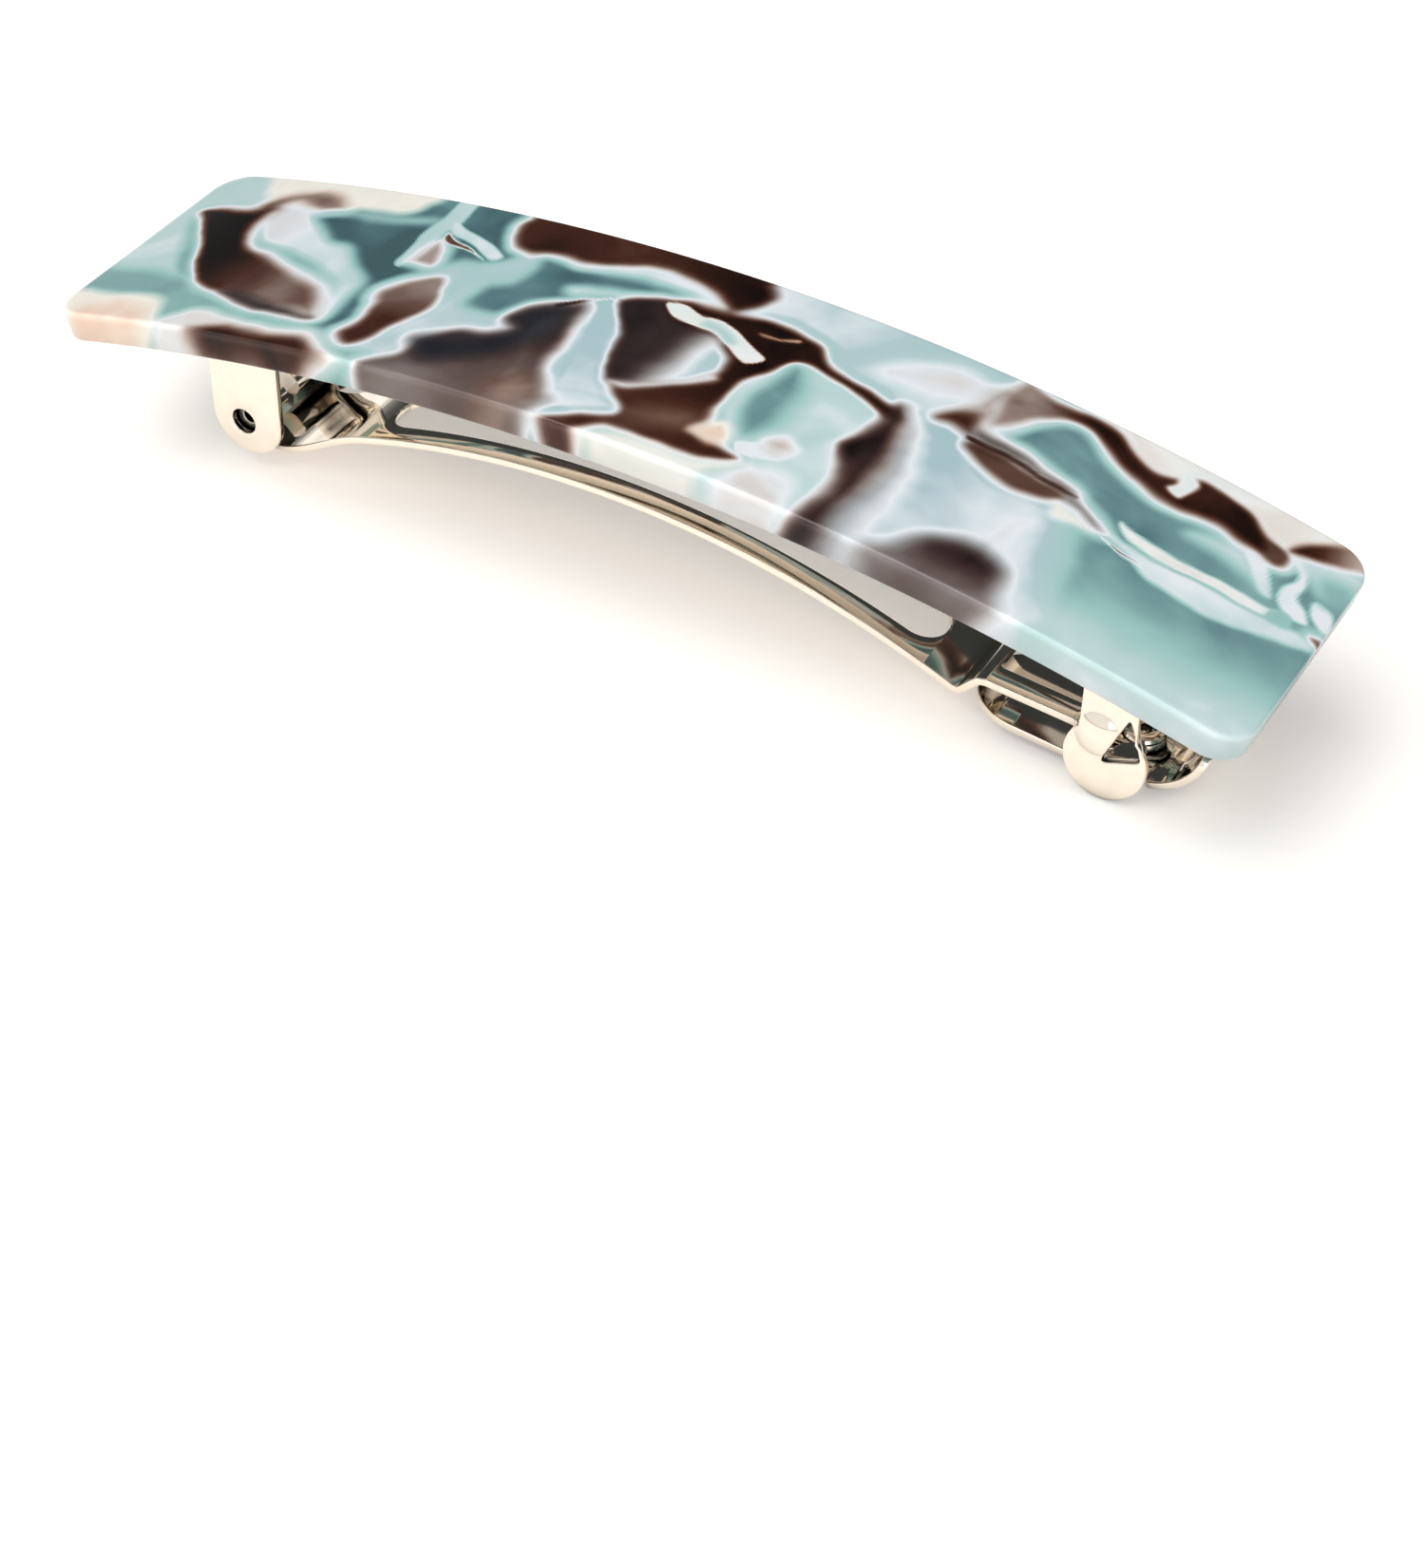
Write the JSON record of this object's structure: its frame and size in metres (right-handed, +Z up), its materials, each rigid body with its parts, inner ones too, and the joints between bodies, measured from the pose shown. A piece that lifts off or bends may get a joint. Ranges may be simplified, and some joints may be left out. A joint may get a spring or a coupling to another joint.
{
  "type": "hair barrette",
  "caption": "Hair barrette: a bent, marbled acetate plate over a sprung metal clip with a hinged arm and squeeze latch buttons.",
  "frame": {"origin": "centre of the bounding box's bottom face, with the clip closed", "axes": "+X along the clip from its hinge to its latch, +Y across it, +Z up through the crown of the decorative plate"},
  "size_m": [0.0928, 0.022, 0.0191],
  "materials": {
    "acetate": "polished cellulose acetate, marbled in teal, white and dark brown",
    "adhesive": "clear set adhesive",
    "nickel_steel": "bright nickel plate on stamped steel",
    "rivet_steel": "bright nickel plate on a steel rivet"
  },
  "bodies": {
    "plate_and_base": {"acetate_plate": "acetate", "adhesive_film": "adhesive", "base_strip": "nickel_steel", "latch_bracket": "nickel_steel", "latch_rivet": "rivet_steel", "bow_rivet": "rivet_steel"},
    "arm": {"clasp_arm": "nickel_steel", "thumb_tab": "nickel_steel", "tab_rivet": "rivet_steel"},
    "bow": {"tension_bow": "nickel_steel"},
    "front_latch_button": {"front_button": "nickel_steel"},
    "rear_latch_button": {"rear_button": "nickel_steel"}
  },
  "joints": [
    {"name": "arm_hinge", "type": "hinge", "parent": "plate_and_base", "child": "arm", "pos_m": [-0.0345, 0, 0.0041], "axis": [0, 1, 0], "range_deg": [0, 95]},
    {"name": "bow_flex", "type": "hinge", "parent": "plate_and_base", "child": "bow", "pos_m": [-0.03, 0, 0.0128], "axis": [0, -1, 0], "range_deg": [0, 1.2], "stiffness_Nm_per_rad": 0.05},
    {"name": "front_button_squeeze", "type": "hinge", "parent": "plate_and_base", "child": "front_latch_button", "pos_m": [0.0351, -0.00435, 0.0116], "axis": [1, 0, 0], "range_deg": [-4, 4], "stiffness_Nm_per_rad": 0.02},
    {"name": "rear_button_squeeze", "type": "hinge", "parent": "plate_and_base", "child": "rear_latch_button", "pos_m": [0.0351, 0.00435, 0.0116], "axis": [-1, 0, 0], "range_deg": [-4, 4], "stiffness_Nm_per_rad": 0.02}
  ]
}
